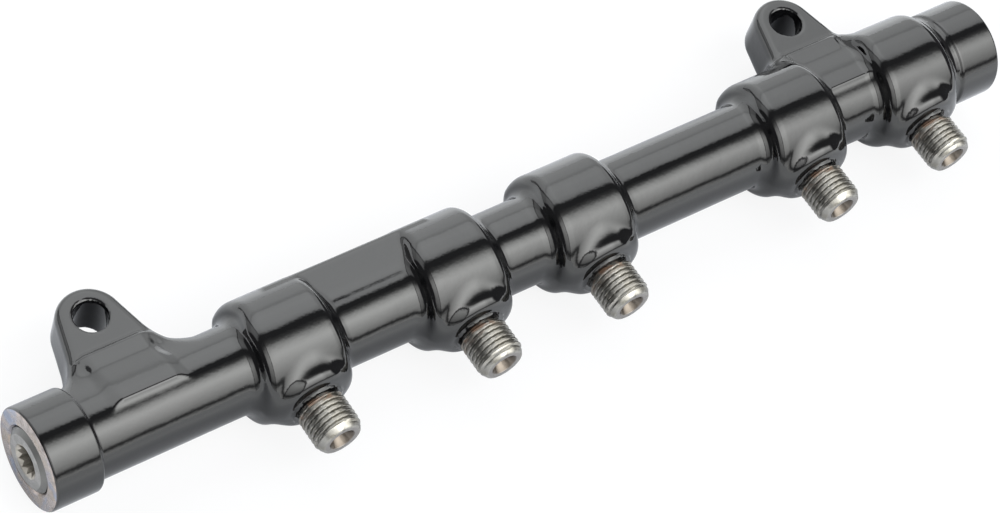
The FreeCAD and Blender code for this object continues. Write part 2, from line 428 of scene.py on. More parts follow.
@dataclass(frozen=True)
class ThreadSteel:
    """Cut thread steel: bright on the crests, darker in the roots as painted shade, with a dark painted shade
    in the sealing cone and drilling, and rust by the neck.
    """

    crest: Colour = (0.29, 0.28, 0.258, 1.0)
    tip: Colour = (0.187, 0.175, 0.165, 1.0)
    # root: the darker colour of the thread roots, a painted shade in the grooves
    root: Colour = (0.245, 0.238, 0.222, 1.0)
    # seat: a dark colour for the sealing cone and drilling, a painted shade in that recess
    seat: Colour = (0.107, 0.092, 0.078, 1.0)
    rust: Colour = (0.11, 0.05, 0.022, 1.0)
    straw: Colour = (0.18, 0.165, 0.13, 1.0)
    soot: Colour = (0.03, 0.027, 0.024, 1.0)
    paint: Colour = (0.002, 0.002, 0.0023, 1.0)
    rust_patches: Triple = (260.0, 0.5, 0.1)
    straw_patches: Triple = (150.0, 0.56, 0.08)
    soot_patches: Triple = (420.0, 0.6, 0.07)
    rust_share: float = 0.85
    straw_share: float = 0.4
    soot_share: float = 0.55
    rust_reach: Pair = (0.0205, 0.0172)
    # The radii over which the thread roots take their darker colour, a painted shade
    root_shade_radii: Pair = (0.0059, 0.0055)
    inside_radii: Pair = (0.0046, 0.0042)
    # The radii over which the cone and drilling take the dark seat colour, a painted shade
    seat_shade_radii: Pair = (0.0034, 0.0032)
    roughness: Pair = (0.3, 0.36)
    rust_roughness: float = 0.25
    rust_metal: float = 0.35
    grain: Pair = (2200.0, 0.6)
    grain_depth: float = 0.000012
    paint_reach: Pair = (0.0176, 0.0174)
    paint_edge: Pair = (600.0, 0.3)
    paint_ragged: float = 0.0012
    paint_gloss: float = 0.3

    def make(self, effects: Effects) -> bpy.types.Material:
        """Build the material.

        Args:
            effects: the shared effects.

        Returns:
            The material.
        """
        surface = Surface(Finish.THREAD.value, effects)
        graph = surface.graph
        radius = radius_from_axis(graph, surface.place, ("X", "Z"))
        split = graph.add("ShaderNodeSeparateXYZ", {0: surface.place})
        reach = graph.math("MULTIPLY", split.outputs["Y"], -1.0)
        inside = graph.ramp(radius, *self.inside_radii)
        groove = graph.ramp(radius, *self.root_shade_radii)
        groove = graph.math("MULTIPLY", groove, graph.math("SUBTRACT", 1.0, inside))
        rusty = surface.stain(*self.rust_patches)
        rusty = graph.math("MULTIPLY", graph.ramp(reach, *self.rust_reach), rusty)
        rusty = graph.math("MULTIPLY", rusty, self.rust_share)
        straw = graph.math("MULTIPLY", surface.stain(*self.straw_patches), self.straw_share)
        soot = graph.math("MULTIPLY", surface.stain(*self.soot_patches), self.soot_share)
        ragged = graph.math("MULTIPLY", surface.grain(*self.paint_edge), self.paint_ragged)
        painted = graph.ramp(graph.math("ADD", reach, ragged), *self.paint_reach)
        # Painted shade: the roots get the darker root colour, the crests stay brighter
        colour = graph.mix(groove, self.crest, self.root)
        colour = graph.mix(straw, colour, self.straw)
        colour = graph.mix(soot, colour, self.soot)
        colour = graph.mix(rusty, colour, self.rust)
        colour = graph.mix(inside, colour, self.tip)
        # Painted shade: the sealing cone and drilling get the dark seat colour
        colour = graph.mix(graph.ramp(radius, *self.seat_shade_radii), colour, self.seat)
        colour = graph.mix(painted, colour, self.paint)
        metal = graph.ramp(rusty, 0.0, self.rust_share, 1.0, self.rust_metal)
        metal = graph.math("MULTIPLY", metal, graph.math("SUBTRACT", 1.0, painted))
        rough = graph.ramp(groove, 0.0, 1.0, *self.roughness)
        rough = graph.math("ADD", rough, graph.math("MULTIPLY", rusty, self.rust_roughness))
        rough = graph.math("SUBTRACT", rough, graph.math("MULTIPLY", painted, self.paint_gloss))
        relief = surface.bump(surface.grain(*self.grain), self.grain_depth)
        return surface.dress(Base_Color=colour, Metallic=metal, Roughness=rough, Normal=relief)


@dataclass(frozen=True)
class PlugSteel:
    """Dull grey steel of the closing plug, darker on its ring and brighter in its socket."""

    face: Colour = (0.165, 0.163, 0.16, 1.0)
    worn: Colour = (0.205, 0.199, 0.193, 1.0)
    ring: Colour = (0.1, 0.099, 0.097, 1.0)
    socket: Colour = (0.33, 0.31, 0.28, 1.0)
    worn_patches: Triple = (300.0, 0.5, 0.15)
    ring_radii: Pair = (0.00655, 0.00675)
    socket_radii: Pair = (0.0045, 0.0040)
    roughness: Pair = (0.42, 0.3)
    socket_roughness: float = 0.2
    grain: Pair = (1800.0, 0.8)
    grain_depth: float = 0.00002

    def make(self, effects: Effects) -> bpy.types.Material:
        """Build the material.

        Args:
            effects: the shared effects.

        Returns:
            The material.
        """
        surface = Surface(Finish.PLUG.value, effects)
        graph = surface.graph
        given = {0: surface.place, 1: RAIL_ORIGIN * MM}
        local = graph.add("ShaderNodeVectorMath", given, operation="SUBTRACT").outputs[0]
        radius = radius_from_axis(graph, local, ("Y", "Z"))
        inside = graph.ramp(radius, *self.socket_radii)
        worn = surface.stain(*self.worn_patches)
        colour = graph.mix(worn, self.face, self.worn)
        colour = graph.mix(graph.ramp(radius, *self.ring_radii), colour, self.ring)
        colour = graph.mix(inside, colour, self.socket)
        rough = graph.ramp(worn, 0.0, 1.0, *self.roughness)
        rough = graph.math("ADD", rough, graph.math("MULTIPLY", inside, self.socket_roughness))
        relief = surface.bump(surface.grain(*self.grain), self.grain_depth)
        return surface.dress(Base_Color=colour, Metallic=1.0, Roughness=rough, Normal=relief)


def radius_from_axis(graph: Graph, place: Any, axes: tuple[str, str]) -> Socket:
    """Give the distance from an axis.

    Args:
        graph: the graph that the nodes go in.
        place: the coordinates.
        axes: the two coordinates across the axis.

    Returns:
        The distance.
    """
    split = graph.add("ShaderNodeSeparateXYZ", {0: place})
    squares = [graph.math("MULTIPLY", split.outputs[axis], split.outputs[axis]) for axis in axes]
    return graph.math("SQRT", graph.math("ADD", *squares))


@dataclass
class Palette:
    """Every finish as a material."""

    materials: dict[Finish, bpy.types.Material] = field(default_factory=dict)

    def fill(self) -> None:
        """Build the effects once and every finish from them."""
        effects = Effects.build()
        for finish, maker in (
            (Finish.PAINT, BlackPaint()),
            (Finish.MACHINED, MachinedSteel()),
            (Finish.THREAD, ThreadSteel()),
            (Finish.PLUG, PlugSteel()),
        ):
            self.materials[finish] = maker.make(effects)


# Meshes


@dataclass
class Piece:
    """One named piece of the rail, ready to be put in the scene."""

    name: str
    points: np.ndarray
    faces: list[list[int]]
    finishes: Sequence[Finish]
    face_finish: Optional[Sequence[int]] = None
    origin: Vector = field(default_factory=lambda: RAIL_ORIGIN)
    sharp_angle: float = 35.0

    def place(self, palette: Palette, slot: Slot) -> bpy.types.Object:
        """Make the object, have it ride on the rail and stand for the forging.

        Args:
            palette: the finishes.
            slot: the record's material slot; not used.

        Returns:
            The object.
        """
        mesh = bpy.data.meshes.new(self.name)
        mesh.from_pydata((self.points * MM).tolist(), [], outward(self.points, self.faces))
        for finish in self.finishes:
            mesh.materials.append(palette.materials[finish])
        if self.face_finish is not None:
            mesh.polygons.foreach_set("material_index", list(self.face_finish))
        mesh.shade_smooth()
        mesh.set_sharp_from_angle(angle=math.radians(self.sharp_angle))
        mesh.update()
        piece = bpy.data.objects.new(self.name, mesh)
        piece.location = self.origin * MM
        bpy.context.scene.collection.objects.link(piece)
        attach(piece, ROOT_BODY)
        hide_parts("rail_body")
        LOG.info("%s: %d points, %d faces", self.name, len(self.points), len(self.faces))
        return piece


def outward(points: np.ndarray, faces: list[list[int]]) -> list[list[int]]:
    """Turn the faces of a closed form so that they look outwards.

    Args:
        points: the corners.
        faces: the faces, all turned one way.

    Returns:
        The faces, looking outwards.
    """
    fans = [(face[0], face[i], face[i + 1]) for face in faces for i in range(1, len(face) - 1)]
    first, second, third = (points[np.array(corner)] for corner in zip(*fans))
    volume = np.einsum("ij,ij->", first, np.cross(second, third))
    return faces if volume > 0 else [face[::-1] for face in faces]


@dataclass
class Turning:
    """A form turned about an axis from a profile of (station, radius), closed into a solid."""

    profile: np.ndarray
    segments: int = 144
    wave: Optional[Callable[[np.ndarray, np.ndarray, np.ndarray], np.ndarray]] = None

    def build(self, across: bool = False) -> tuple[np.ndarray, list[list[int]], list[int]]:
        """Turn the profile.

        Args:
            across: the axis is an outlet's, towards -Y, instead of the rail's.

        Returns:
            The points, the faces, and for each face the number of its profile step.
        """
        angles = np.arange(self.segments) * 2 * math.pi / self.segments
        station, angle = np.meshgrid(self.profile[:, 0], angles, indexing="ij")
        radius = np.repeat(self.profile[:, 1:2], self.segments, axis=1)
        if self.wave is not None:
            radius = self.wave(station, radius, angle)
        side, up = radius * np.cos(angle), radius * np.sin(angle)
        grid = (side, -station, up) if across else (station, side, up)
        points = np.stack(grid, axis=-1)
        on_axis = self.profile[:, 1] < 1e-6
        first_end, last_end = bool(on_axis[0]), bool(on_axis[-1])
        rows = list(range(int(first_end), len(self.profile) - int(last_end)))
        body = points[rows[0]:rows[-1] + 1].reshape(-1, 3)
        count = self.segments
        index = np.arange(len(rows) * count).reshape(len(rows), count)
        closed = not (first_end or last_end)
        below = index if closed else index[:-1]
        above = np.roll(index, -1, axis=0) if closed else index[1:]
        quads = np.stack((below, np.roll(below, -1, 1), np.roll(above, -1, 1), above), axis=-1).reshape(-1, 4)
        faces = quads.tolist()
        steps = np.repeat(np.arange(len(below)) + int(first_end), count).tolist()
        poles = []
        for is_pole, row, turn in ((first_end, index[0], -1), (last_end, index[-1], 1)):
            if is_pole:
                pole = len(body) + len(poles)
                poles.append(points[0 if turn < 0 else -1, 0])
                ring = row.tolist()
                ahead = ring[1:] + ring[:1]
                faces += [[a, b, pole] if turn > 0 else [b, a, pole] for a, b in zip(ring, ahead)]
                steps += [0 if turn < 0 else len(self.profile) - 2] * count
        if poles:
            body = np.vstack((body, np.array(poles)))
        return body, faces, steps


def arc(centre: Pair, radius: float, start: float, end: float, count: int) -> list[Pair]:
    """Points on an arc from one angle to another, in degrees."""
    angles = np.radians(np.linspace(start, end, count + 1))
    return [(centre[0] + radius * math.cos(a), centre[1] + radius * math.sin(a)) for a in angles]


def level_line(start: Pair, end: Pair, count: int) -> list[Pair]:
    """Evenly spaced points from one point of a profile to another."""
    return list(zip(np.linspace(start[0], end[0], count), np.linspace(start[1], end[1], count)))


def s_blend(start: Pair, end: Pair, count: int = 12) -> list[Pair]:
    """Two equal tangent arcs between two levels of a profile.

    Args:
        start: the first point.
        end: the last point.
        count: how many steps there are.

    Returns:
        The points after the first.
    """
    run, rise = end[0] - start[0], end[1] - start[1]
    radius = (run ** 2 + rise ** 2) / (4 * abs(rise))
    points = []
    for share in np.linspace(0, 1, count + 1)[1:]:
        along = abs(run) * min(share, 1 - share)
        bow = radius - math.sqrt(radius ** 2 - along ** 2)
        level = bow if share <= 0.5 else abs(rise) - bow
        points.append((start[0] + run * share, start[1] + math.copysign(level, rise)))
    return points


# The forging


def round_join(first: np.ndarray, second: np.ndarray, radius: float, how: Union = Union.JOIN) -> np.ndarray:
    """Join two forms with a fillet, or keep what they share with a rounded edge.

    Args:
        first: the signed distance to the first form.
        second: the signed distance to the second form.
        radius: the fillet's or edge's radius.
        how: joined, or trimmed to what both hold.

    Returns:
        The signed distance to the result.
    """
    a, b = first * how.value, second * how.value
    near = np.hypot(np.maximum(radius - a, 0), np.maximum(radius - b, 0))
    return (np.maximum(np.minimum(a, b), radius) - near) * how.value


@dataclass(frozen=True)
class Wave:
    """A sine wave through the forging: its turning for each millimetre along the axes, and its start."""

    along: float = 0.0
    across: float = 0.0
    upward: float = 0.0
    start: float = 0.0

    def at(self, x: np.ndarray, y: np.ndarray, z: np.ndarray) -> np.ndarray:
        """Give the wave's height, from -1 to 1."""
        return np.sin(self.along * x + self.across * y + self.upward * z + self.start)


@dataclass
class Forging:
    """The one-piece steel forging between the two end collars, as one smooth skin of paint."""

    bar_radius: float = 10.65
    boss_radius: float = 14.75
    boss_flat_to_plug: float = 8.4
    boss_flat_to_port: float = 6.9
    boss_blend: float = 5.2
    shoulder_blend: float = 6.0
    draft: float = math.tan(math.radians(6.0))
    draft_start: float = 3.0
    draft_end: float = 20.0
    draft_fade: float = 4.0
    run_out: float = 4.0
    blend_steps: int = 40
    outline_step: float = 0.05
    rear_step: float = 2.0
    rear_run: float = 8.0
    groove_radius: float = 12.2
    neck_radius: float = 10.0
    neck_reach: float = 16.05
    neck_edge: float = 2.9
    neck_fillet: float = 2.0
    hub_radius: float = 6.6
    hub_reach: float = 16.75
    hub_edge: float = 0.25
    hub_fillet: float = 0.5
    pad_reach: float = 11.7
    pad_corner: float = 1.6
    pad_fillet: float = 0.6
    bolt_line: float = 23.8
    hole_radius: float = 4.2
    hole_edge: float = 0.5
    lug_half: float = 6.9
    lug_face_half: float = 5.9
    lug_face_start: float = 14.7
    lug_head: float = 8.1
    lug_edge: float = 3.2
    lug_lean: float = math.radians(15.0)
    lug_flare: float = math.radians(45.0)
    lug_flare_radius: float = 16.0
    lug_flare_start: float = 18.0
    lug_fillet: float = 2.7
    face_edge: float = 0.7
    web_half: float = 8.3
    web_slope: float = math.radians(13.0)
    web_edge: float = 1.8
    web_end_edge: float = 0.8
    web_fillet: float = 1.6
    start: float = 12.5
    end: float = 266.3
    port_room_radius: float = 9.4
    port_room_start: float = 244.0
    swell: float = 0.012
    waves: Sequence[tuple[float, Wave, Wave]] = (
        (1.0, Wave(along=0.21, across=0.17, start=0.4), Wave(across=0.33, upward=0.41, start=1.1)),
        (0.6, Wave(along=0.47, upward=-0.29, start=2.0), Wave(across=0.37, upward=0.53, start=-0.7)),
    )
    cell: float = 0.64
    fine_cell: float = 0.42
    fine_half: float = 10.0
    fine_lug_start: float = 18.0
    fine_neck: Pair = (-17.4, -15.2)
    low: Triple = (11.0, -17.6, -16.2)
    high: Triple = (267.6, 33.2, 16.2)
    slabs: int = 12
    probe: float = 0.02
    least_slope: float = 0.25
    settling: int = 2
    relaxing: int = 5
    relaxed_share: float = 0.6

    def __post_init__(self) -> None:
        """Draw the turned outline of bar, bosses and groove, and its lean."""
        outline = [(self.start - self.run_out, self.bar_radius)]
        for station in OUTLET_STATIONS:
            left, right = station - self.boss_flat_to_plug, station + self.boss_flat_to_port
            foot = (right + self.boss_blend, self.bar_radius)
            if station == OUTLET_STATIONS[-1]:
                foot = (right + self.shoulder_blend, self.groove_radius)
            outline.append((left - self.boss_blend, self.bar_radius))
            outline += s_blend(outline[-1], (left, self.boss_radius), self.blend_steps)
            outline.append((right, self.boss_radius))
            outline += s_blend(outline[-1], foot, self.blend_steps)
        outline.append((self.end + self.run_out, self.groove_radius))
        table = np.array(outline)
        self.stations = np.arange(table[0, 0], table[-1, 0], self.outline_step)
        self.radii = np.interp(self.stations, table[:, 0], table[:, 1])
        self.leans = 1 / np.hypot(1, np.gradient(self.radii, self.stations))

    def bar(self, x: np.ndarray, y: np.ndarray, z: np.ndarray) -> np.ndarray:
        """Signed distance to the turned bar with its bosses, and the pad behind it.

        Args:
            x: stations along the rail.
            y: places towards the bolts.
            z: heights.

        Returns:
            The distances.
        """
        nearest = np.argmin([np.abs(x - station) for station in OUTLET_STATIONS], axis=0)
        offset = x - np.array(OUTLET_STATIONS)[nearest]
        widening = self.draft * np.clip(self.boss_radius - np.abs(z), 0, None)
        away = np.abs(offset)
        reach = np.clip((away - self.draft_start) / self.draft_fade, 0, 1)
        reach = reach * np.clip((self.draft_end - away) / self.draft_fade, 0, 1)
        drafted = x - np.sign(offset) * widening * reach * (x < self.end - self.run_out)
        back = np.clip(y / self.rear_run, 0, 1)
        drafted = drafted - self.rear_step * back * back * (3 - 2 * back) * reach * (offset < 0)
        radius = np.interp(drafted, self.stations, self.radii)
        lean = np.interp(drafted, self.stations, self.leans)
        turned = (np.hypot(y, z) - radius) * lean
        middle = (OUTLET_STATIONS[0] + OUTLET_STATIONS[1]) / 2
        length = np.abs(x - middle) - (OUTLET_STATIONS[1] - OUTLET_STATIONS[0]) / 2
        across = np.abs(y - self.pad_reach / 2) - self.pad_reach / 2
        upright = np.abs(z) - self.bar_radius
        pad = np.maximum(round_join(across, upright, self.pad_corner, Union.TRIM), length)
        return round_join(turned, pad, self.pad_fillet)

    def neck(self, x: np.ndarray, y: np.ndarray, z: np.ndarray) -> np.ndarray:
        """Signed distance to the nearest outlet's neck.

        Args:
            x: stations along the rail.
            y: places towards the bolts.
            z: heights.

        Returns:
            The distances.
        """
        along = np.min([np.abs(x - station) for station in OUTLET_STATIONS], axis=0)
        out = np.hypot(along, z)
        body = round_join(out - self.neck_radius, -y - self.neck_reach, self.neck_edge, Union.TRIM)
        hub = round_join(out - self.hub_radius, -y - self.hub_reach, self.hub_edge, Union.TRIM)
        return np.maximum(round_join(body, hub, self.hub_fillet), y)

    def lug_plan(self, side: np.ndarray, y: np.ndarray) -> np.ndarray:
        """Signed distance to a lug's outline seen along its bolt.

        Args:
            side: the distance from the bolt along the rail.
            y: places towards the bolts.

        Returns:
            The distances.
        """
        lean, flare, head = self.lug_lean, self.lug_flare, self.lug_head
        over = y - self.bolt_line
        flank = side * math.cos(lean) + over * math.sin(lean) - head
        plan = np.where(over * math.cos(lean) > side * math.sin(lean), np.hypot(side, over) - head, flank)
        drop = (self.bolt_line + head * math.sin(lean) - self.lug_flare_start) / math.cos(lean)
        top = (head * math.cos(lean) + drop * math.sin(lean), self.lug_flare_start)
        centre = (
            top[0] + self.lug_flare_radius * math.cos(lean),
            top[1] + self.lug_flare_radius * math.sin(lean),
        )
        below = (side - top[0]) * math.sin(lean) - (y - top[1]) * math.cos(lean)
        curve = self.lug_flare_radius - np.hypot(side - centre[0], y - centre[1])
        plan = np.where(below > 0, curve, plan)
        foot = (
            centre[0] - self.lug_flare_radius * math.cos(flare),
            centre[1] - self.lug_flare_radius * math.sin(flare),
        )
        past = (side - foot[0]) * math.sin(flare) - (y - foot[1]) * math.cos(flare)
        slope = (side - foot[0]) * math.cos(flare) + (y - foot[1]) * math.sin(flare)
        return np.where(past > 0, slope, plan)

    def lug(self, x: np.ndarray, y: np.ndarray, z: np.ndarray) -> tuple[np.ndarray, np.ndarray]:
        """Signed distances to the nearest lug with its web, and to its bolt hole.

        Args:
            x: stations along the rail.
            y: places towards the bolts.
            z: heights.

        Returns:
            The distances to the lug and to the hole.
        """
        side = np.min([np.abs(x - station) for station in LUG_STATIONS], axis=0)
        high = np.abs(z)
        plate = round_join(self.lug_plan(side, y), high - self.lug_half, self.lug_edge, Union.TRIM)
        faced = np.minimum(y - self.lug_face_start, high - self.lug_face_half)
        plate = round_join(plate, faced, self.face_edge, Union.TRIM)
        rise = (self.lug_face_start - y) * math.tan(self.web_slope)
        slope = (high - self.lug_half - rise) * math.cos(self.web_slope)
        web = round_join(side - self.web_half, slope, self.web_edge, Union.TRIM)
        web = round_join(web, y - self.lug_face_start, self.web_end_edge, Union.TRIM)
        plate = np.maximum(round_join(plate, web, self.web_fillet), -y)
        return plate, np.hypot(side, y - self.bolt_line) - self.hole_radius

    def waviness(self, x: np.ndarray, y: np.ndarray, z: np.ndarray) -> np.ndarray:
        """The height of the forging's slight unevenness: pairs of crossed waves, each with its share."""
        return self.swell * sum(part * one.at(x, y, z) * other.at(x, y, z) for part, one, other in self.waves)

    def distance(self, points: np.ndarray) -> np.ndarray:
        """Signed distance to the whole skin.

        Args:
            points: places, the last axis being x, y and z.

        Returns:
            The distances.
        """
        x, y, z = points[..., 0], points[..., 1], points[..., 2]
        skin = round_join(self.bar(x, y, z), self.neck(x, y, z), self.neck_fillet)
        plate, hole = self.lug(x, y, z)
        skin = round_join(skin, plate, self.lug_fillet) + self.waviness(x, y, z)
        skin = round_join(skin, -hole, self.hole_edge, Union.TRIM)
        room = np.maximum(np.hypot(y, z) - self.port_room_radius, self.port_room_start - x)
        ends = np.maximum(self.start - x, x - self.end)
        return np.maximum(np.maximum(skin, ends), -room)

    def grid_lines(self, low: float, high: float, close: Sequence[Pair]) -> np.ndarray:
        """Grid lines along one axis, closer together where the form is finer.

        Args:
            low: where the lines start.
            high: where they end.
            close: the ranges with the finer step.

        Returns:
            The lines.
        """
        lines = [low]
        while lines[-1] < high:
            fine = any(start <= lines[-1] < end for start, end in close)
            lines.append(lines[-1] + (self.fine_cell if fine else self.cell))
        return np.array(lines)

    def cells(self) -> tuple[np.ndarray, np.ndarray]:
        """One point for each grid cell that the skin passes through, and a face for each edge that it cuts.

        Returns:
            The points and the four-sided faces.
        """
        close = (
            [(station - self.fine_half, station + self.fine_half) for station in LUG_STATIONS],
            [self.fine_neck, (self.fine_lug_start, self.high[1])],
            [],
        )
        axes = [self.grid_lines(*ends) for ends in zip(self.low, self.high, close)]
        values = np.concatenate([
            self.distance(np.stack(np.meshgrid(part, axes[1], axes[2], indexing="ij"), axis=-1))
            for part in np.array_split(axes[0], self.slabs)
        ])
        inside = values < 0
        shape = tuple(size - 1 for size in inside.shape)
        corners = sum(
            inside[i:i + shape[0], j:j + shape[1], k:k + shape[2]].astype(int)
            for i in (0, 1) for j in (0, 1) for k in (0, 1)
        )
        mixed = (corners > 0) & (corners < 8)
        number = np.full(shape, -1)
        number[mixed] = np.arange(mixed.sum())
        middle = [(axis[:-1] + axis[1:]) / 2 for axis in axes]
        points = np.stack([middle[i][place] for i, place in enumerate(np.nonzero(mixed))], axis=-1)
        faces = []
        for axis in range(3):
            first, second = [other for other in range(3) if other != axis]
            solid = np.moveaxis(inside, (axis, first, second), (0, 1, 2))
            cell = np.moveaxis(number, (axis, first, second), (0, 1, 2))
            change = solid[:-1, 1:-1, 1:-1].astype(int) - solid[1:, 1:-1, 1:-1]
            corner = (cell[:, :-1, :-1], cell[:, 1:, :-1], cell[:, 1:, 1:], cell[:, :-1, 1:])
            ring = np.stack(corner, axis=-1)
            turn = 1 if axis != 1 else -1
            faces += [ring[change == turn], ring[change == -turn][:, ::-1]]
        return points, np.concatenate(faces)

    def settle(self, points: np.ndarray) -> np.ndarray:
        """Move points onto the skin along its slope.

        Args:
            points: places near the skin.

        Returns:
            The places on it.
        """
        step = self.probe
        corners = np.array(((1, -1, -1), (-1, -1, 1), (-1, 1, -1), (1, 1, 1)), float)
        for _ in range(self.settling):
            parts = (corner * self.distance(points + corner * step)[:, None] for corner in corners)
            slope = sum(parts) / (4 * step)
            steep = np.maximum(np.einsum("ij,ij->i", slope, slope), self.least_slope)
            move = slope * (self.distance(points) / steep)[:, None]
            size = np.linalg.norm(move, axis=1, keepdims=True)
            points = points - move * np.minimum(1, self.cell / np.maximum(size, 1e-9))
        return points

    def build(self, palette: Palette) -> bpy.types.Object:
        """Make the skin as one closed mesh.

        Args:
            palette: the finishes.

        Returns:
            The object.
        """
        points, faces = self.cells()
        pairs = np.concatenate([faces[:, [i, (i + 1) % 4]] for i in range(4)])
        count = np.maximum(np.bincount(pairs.ravel(), minlength=len(points)), 1)[:, None]
        points = self.settle(points)
        share = self.relaxed_share
        for _ in range(self.relaxing):
            total = np.zeros_like(points)
            for here, there in ((0, 1), (1, 0)):
                for axis in range(3):
                    total[:, axis] += np.bincount(pairs[:, here], points[pairs[:, there], axis], len(points))
            points = self.settle((1 - share) * points + share * total / count)
        return Piece("rail_forging", points, faces.tolist(), (Finish.PAINT,)).place(palette, Slot.PAINT)


# End collars, outlets and plug


@dataclass
class Collar:
    """What both end collars share: a bare machined face, a rounded rim and a painted side."""

    radius: float
    length: float
    edge: float
    blend: float
    foot_radius: float
    mouth_radius: float
    sides: int
    bore_radius: float = 8.0
    face_inset: Pair = (0.4, 0.3)
    face_rings: int = 8
    side_rings: int = 10
    rim_rings: int = 10
    bare_rim: int = 4
    tail_run: float = 0.8
    tail_drop: float = 0.5

    def outside(self, face: float, way: int) -> list[Pair]:
        """Draw the outside, from the mouth over the rim to just inside the forging.

        Args:
            face: the station of the collar's face.
            way: 1 where the collar goes on along X from its face, or -1.

        Returns:
            The profile.
        """
        inner, outer = self.face_inset
        round_centre = (face + way * self.edge, self.radius - self.edge)
        side_end = (face + way * self.length, self.radius)
        foot = (side_end[0] + way * self.blend, self.foot_radius)
        face_end = (face, self.radius - self.edge - outer)
        profile = level_line((face, self.mouth_radius + inner), face_end, self.face_rings)
        profile += arc(round_centre, self.edge, 90 + way * 90, 90, self.rim_rings)
        profile += level_line((round_centre[0] + way, self.radius), side_end, self.side_rings)
        profile += s_blend(side_end, foot)
        return profile + [(foot[0] + way * self.tail_run, self.foot_radius - self.tail_drop)]

    def place(self, name: str, turning: Turning, inner_steps: int, palette: Palette) -> bpy.types.Object:
        """Turn the collar, with its inside, face and half its rim bare and the rest painted.

        Args:
            name: the piece's name.
            turning: the form to turn.
            inner_steps: how many steps of its profile come before the face.
            palette: the finishes.

        Returns:
            The object.
        """
        points, faces, steps = turning.build()
        bare_end = inner_steps + self.face_rings + self.bare_rim
        bare = [int(step < bare_end) for step in steps]
        piece = Piece(name, points, faces, (Finish.PAINT, Finish.MACHINED), bare)
        return piece.place(palette, Slot.PAINT)


@dataclass
class PlugCollar(Collar):
    """The turned collar that the closing plug screws into, painted round its side only."""

    radius: float = 12.55
    length: float = 11.6
    edge: float = 0.85
    blend: float = 1.8
    foot_radius: float = 10.65
    mouth_radius: float = 8.65
    sides: int = 192
    bore_depth: float = 16.0
    wall: float = 1.2

    def build(self, palette: Palette) -> bpy.types.Object:
        """Turn the collar.

        Args:
            palette: the finishes.

        Returns:
            The object.
        """
        inside = [(self.mouth_radius - self.bore_radius, self.bore_radius), (0.0, self.mouth_radius)]
        profile = inside + self.outside(0.0, 1)
        profile += [(self.bore_depth, self.foot_radius - self.wall), (self.bore_depth, self.bore_radius)]
        return self.place("plug_collar", Turning(np.array(profile), self.sides), len(inside), palette)


@dataclass
class PortCollar(Collar):
    """The turned collar round the open sensor port, with the port's thread, sealing cone and gallery."""

    radius: float = 12.7
    length: float = 11.8
    edge: float = 0.9
    blend: float = 1.4
    foot_radius: float = 12.2
    mouth_radius: float = 8.33
    sides: int = 144
    rail_length: float = 278.6
    bore_depth: float = 14.5
    bore_rings: int = 120
    thread_depth: float = 0.8
    thread_pitch: float = 1.5
    thread_land: float = 0.12
    thread_flank: float = 0.76
    thread_starts: Pair = (0.6, 1.5)
    thread_fades: Pair = (1.2, 1.0)
    seat_half_angle: float = math.radians(60.0)
    gallery_radius: float = 4.5
    gallery_end: float = 246.0
    gallery_wall: float = 1.5
    sleeve_radius: float = 9.2
    sleeve_run: float = 3.0

    def thread(self, station: np.ndarray, radius: np.ndarray, angle: np.ndarray) -> np.ndarray:
        """Cut the internal thread where the bore has its full radius.

        Args:
            station: stations along the rail.
            radius: the plain profile's radii.
            angle: angles round the rail.

        Returns:
            The radii with the thread.
        """
        turn = station / self.thread_pitch - angle / (2 * math.pi)
        ridge = np.clip((np.abs(2 * (turn % 1.0) - 1) - self.thread_land) / self.thread_flank, 0, 1)
        depth = self.rail_length - station
        (near, far), (near_fade, far_fade) = self.thread_starts, self.thread_fades
        fade = np.clip((depth - near) / near_fade, 0, 1)
        fade = fade * np.clip((self.bore_depth - far - depth) / far_fade, 0, 1)
        threaded = np.abs(radius - self.bore_radius) < 1e-6
        return np.where(threaded, radius - self.thread_depth * ridge * fade, radius)

    def build(self, palette: Palette) -> bpy.types.Object:
        """Turn the collar.

        Args:
            palette: the finishes.

        Returns:
            The object.
        """
        face = self.rail_length
        seat = face - self.bore_depth
        seat_run = (self.bore_radius - self.gallery_radius) / math.tan(self.seat_half_angle)
        bore_end = (face - (self.mouth_radius - self.bore_radius), self.bore_radius)
        inside = [(self.gallery_end, 0.0), (self.gallery_end, self.gallery_radius)]
        inside += [(seat - seat_run, self.gallery_radius)]
        inside += level_line((seat, self.bore_radius), bore_end, self.bore_rings)
        inside += [(face, self.mouth_radius)]
        end = self.gallery_end - self.gallery_wall
        sleeve_start = face - self.length - self.blend - self.sleeve_run
        profile = inside + self.outside(face, -1)
        profile += [(sleeve_start, self.sleeve_radius), (end, self.sleeve_radius), (end, 0.0)]
        turning = Turning(np.array(profile), self.sides, self.thread)
        return self.place("port_collar", turning, len(inside), palette)


